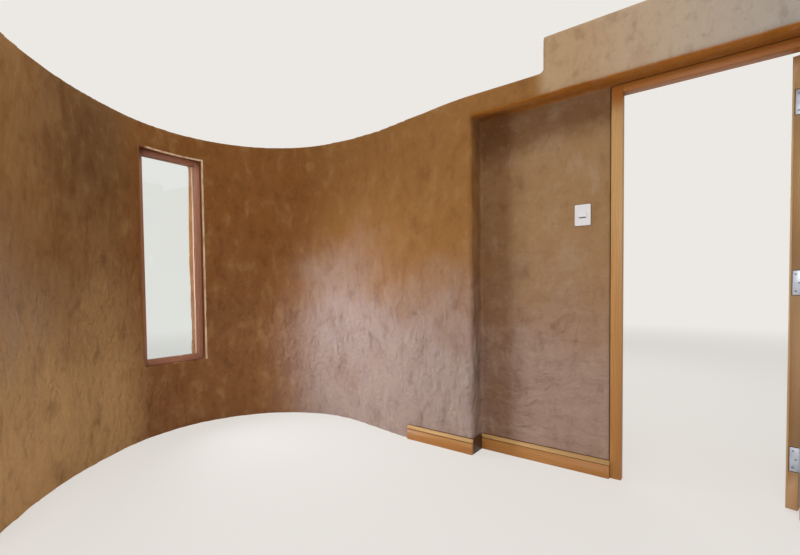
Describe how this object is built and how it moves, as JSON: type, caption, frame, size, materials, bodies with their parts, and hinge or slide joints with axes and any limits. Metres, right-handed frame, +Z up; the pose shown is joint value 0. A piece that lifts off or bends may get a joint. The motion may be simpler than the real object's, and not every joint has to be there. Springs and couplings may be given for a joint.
{
  "type": "rounded adobe wall with a slit window and a framed doorway",
  "caption": "Curved mud-plastered wall of a small house, with a slit window, a stepped pier and recess, and a timber-framed doorway whose leaf opens.",
  "frame": {"origin": "middle of the foot of the recess wall, beside the doorway", "axes": "+X along the recess wall towards the doorway, +Y through the doorway, +Z up"},
  "size_m": [4.2207, 3.2488, 2.41],
  "materials": {
    "mud_plaster": "hand-trowelled mud plaster on adobe, ochre above and greyer below",
    "pine": "varnished honey pine",
    "window_timber": "stained reddish-brown timber",
    "pane": "clear float glass",
    "steel": "bright zinc-plated steel",
    "switch_plastic": "white moulded plastic"
  },
  "bodies": {
    "wall": {"pier": "mud_plaster", "middle_wall": "mud_plaster", "corner_wall": "mud_plaster", "wall_right_of_window": "mud_plaster", "wall_below_window": "mud_plaster", "wall_above_window": "mud_plaster", "wall_left_of_window": "mud_plaster", "left_end_wall": "mud_plaster", "recess_wall": "mud_plaster", "beam": "mud_plaster", "end_pier": "mud_plaster", "window_right_jamb": "window_timber", "window_left_jamb": "window_timber", "window_head": "window_timber", "window_sill": "window_timber", "window_glass": "pane", "window_sill_board": "window_timber", "door_left_post": "pine", "door_right_post": "pine", "door_head": "pine", "strike_plate": "steel", "hinge_frame_side_1": "steel", "hinge_frame_side_2": "steel", "hinge_frame_side_3": "steel", "pier_skirting": "pine", "recess_skirting": "pine", "end_pier_skirting": "pine", "switch_plate": "switch_plastic", "switch_rocker": "switch_plastic"},
    "door": {"leaf_hinge_stile": "pine", "leaf_lock_stile": "pine", "leaf_top_rail": "pine", "leaf_lock_rail": "pine", "leaf_bottom_rail": "pine", "leaf_upper_panel": "pine", "leaf_lower_panel": "pine", "latch_plate": "steel", "lever_room_side": "steel", "lever_bedroom_side": "steel", "hinge_leaf_side_1": "steel", "hinge_leaf_side_2": "steel", "hinge_leaf_side_3": "steel"}
  },
  "joints": [
    {"name": "door_swing", "type": "hinge", "parent": "wall", "child": "door", "pos_m": [1.1495, 0.054, 1], "axis": [0, 0, 1], "range_deg": [-10, 103]}
  ]
}
